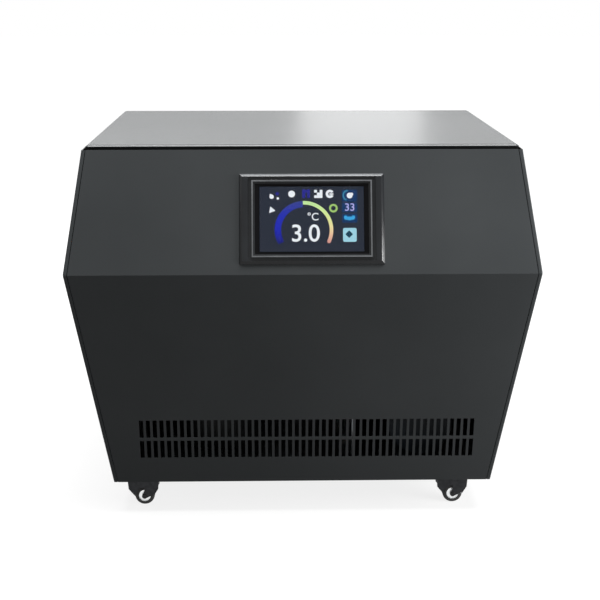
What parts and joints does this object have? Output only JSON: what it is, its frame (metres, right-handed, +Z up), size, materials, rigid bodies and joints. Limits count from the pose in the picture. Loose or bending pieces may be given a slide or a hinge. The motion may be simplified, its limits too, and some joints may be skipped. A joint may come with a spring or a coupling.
{
  "type": "ice bath water chiller",
  "caption": "Black sheet-metal water chiller for an ice bath: faceted casing with a tilted temperature display, low intake slots, hose spigots at the back and swivel castors.",
  "frame": {"origin": "on the floor, under the middle of the overall box", "axes": "+X to the right as seen from the display side, +Y towards the back with the hose spigots, +Z up"},
  "size_m": [0.56, 0.484, 0.465],
  "materials": {
    "powder_coat": "fine-textured semi-matt black powder coat",
    "zinc_sheet": "galvanised sheet",
    "black_screws": "black oxide",
    "zinc_screws": "zinc plated",
    "bezel_plastic": "fine-textured black plastic",
    "cover_glass": "black-edged cover glass",
    "screen": "lit display",
    "circuit_board": "solder mask",
    "black_plastic": "moulded plastic",
    "rocker_plastic": "glossy moulded plastic",
    "castor_steel": "black plated steel",
    "axle_steel": "turned steel",
    "wheel_rubber": "smooth rubber tread on a light core",
    "guard_wire": "black coated wire",
    "fin_aluminium": "mill finish",
    "copper": "drawn copper",
    "pipe_insulation": "foam sleeve",
    "fan_plastic": "moulded plastic",
    "motor_enamel": "enamel",
    "compressor_enamel": "black enamel",
    "black_rubber": "moulded rubber",
    "exchanger_plastic": "moulded plastic",
    "titanium": "drawn tube"
  },
  "bodies": {
    "casing": {"base_pan": "zinc_sheet", "front_panel": "powder_coat", "left_side_panel": "powder_coat", "right_side_panel": "powder_coat", "rear_panel": "powder_coat", "top_cover": "powder_coat", "partition_plate": "zinc_sheet", "casing_screws": "black_screws", "display_bezel": "bezel_plastic", "display_glass": "cover_glass", "display_screen": "screen", "display_board": "circuit_board", "display_housing": "black_plastic", "castor_plate_fl": "castor_steel", "castor_plate_fr": "castor_steel", "castor_plate_rl": "castor_steel", "castor_plate_rr": "castor_steel", "castor_screws": "zinc_screws", "fan_guard": "guard_wire", "water_inlet": "black_plastic", "water_outlet": "black_plastic", "port_nuts": "black_plastic", "power_inlet": "black_plastic", "condenser_fins": "fin_aluminium", "condenser_tubes": "copper", "fan_shroud": "fan_plastic", "fan_motor": "motor_enamel", "compressor_shell": "compressor_enamel", "compressor_feet": "black_rubber", "terminal_cover": "black_plastic", "exchanger_shell": "exchanger_plastic", "exchanger_coil": "titanium", "filter_drier": "copper", "discharge_pipe": "copper", "liquid_pipe": "copper", "capillary_tube": "copper", "suction_pipe": "pipe_insulation", "pump_body": "black_plastic", "pump_motor": "motor_enamel", "inlet_hose": "black_rubber", "transfer_hose": "black_rubber", "outlet_hose": "black_rubber", "control_box": "zinc_sheet", "control_board": "circuit_board", "wiring_loom": "black_plastic"},
    "swivel_fl": {"castor_fork_fl": "castor_steel", "castor_axle_fl": "axle_steel"},
    "wheel_fl": {"castor_wheel_fl": "wheel_rubber"},
    "swivel_fr": {"castor_fork_fr": "castor_steel", "castor_axle_fr": "axle_steel"},
    "wheel_fr": {"castor_wheel_fr": "wheel_rubber"},
    "swivel_rl": {"castor_fork_rl": "castor_steel", "castor_axle_rl": "axle_steel"},
    "wheel_rl": {"castor_wheel_rl": "wheel_rubber"},
    "swivel_rr": {"castor_fork_rr": "castor_steel", "castor_axle_rr": "axle_steel"},
    "wheel_rr": {"castor_wheel_rr": "wheel_rubber"},
    "fan": {"fan_blade": "fan_plastic"},
    "impeller": {"pump_impeller": "exchanger_plastic"},
    "rocker": {"rocker_button": "rocker_plastic"}
  },
  "joints": [
    {"name": "castor_swivel_fl", "type": "hinge", "parent": "casing", "child": "swivel_fl", "pos_m": [-0.1975, -0.158, 0.034], "axis": [0, 0, 1], "continuous": true},
    {"name": "wheel_spin_fl", "type": "hinge", "parent": "swivel_fl", "child": "wheel_fl", "pos_m": [-0.2015, -0.158, 0.0125], "axis": [0, 1, 0], "continuous": true},
    {"name": "castor_swivel_fr", "type": "hinge", "parent": "casing", "child": "swivel_fr", "pos_m": [0.1975, -0.158, 0.034], "axis": [0, 0, 1], "continuous": true},
    {"name": "wheel_spin_fr", "type": "hinge", "parent": "swivel_fr", "child": "wheel_fr", "pos_m": [0.1935, -0.158, 0.0125], "axis": [0, 1, 0], "continuous": true},
    {"name": "castor_swivel_rl", "type": "hinge", "parent": "casing", "child": "swivel_rl", "pos_m": [-0.1975, 0.162, 0.034], "axis": [0, 0, 1], "continuous": true},
    {"name": "wheel_spin_rl", "type": "hinge", "parent": "swivel_rl", "child": "wheel_rl", "pos_m": [-0.2015, 0.162, 0.0125], "axis": [0, 1, 0], "continuous": true},
    {"name": "castor_swivel_rr", "type": "hinge", "parent": "casing", "child": "swivel_rr", "pos_m": [0.1975, 0.162, 0.034], "axis": [0, 0, 1], "continuous": true},
    {"name": "wheel_spin_rr", "type": "hinge", "parent": "swivel_rr", "child": "wheel_rr", "pos_m": [0.1935, 0.162, 0.0125], "axis": [0, 1, 0], "continuous": true},
    {"name": "fan_spin", "type": "hinge", "parent": "casing", "child": "fan", "pos_m": [-0.085, 0.176, 0.19022], "axis": [0, 1, 0], "continuous": true},
    {"name": "impeller_spin", "type": "hinge", "parent": "casing", "child": "impeller", "pos_m": [0.15, -0.046, 0.1055], "axis": [0, 1, 0], "continuous": true},
    {"name": "power_switch", "type": "hinge", "parent": "casing", "child": "rocker", "pos_m": [0.15, 0.20395, 0.12], "axis": [1, 0, 0], "range_deg": [-12, 0]}
  ]
}
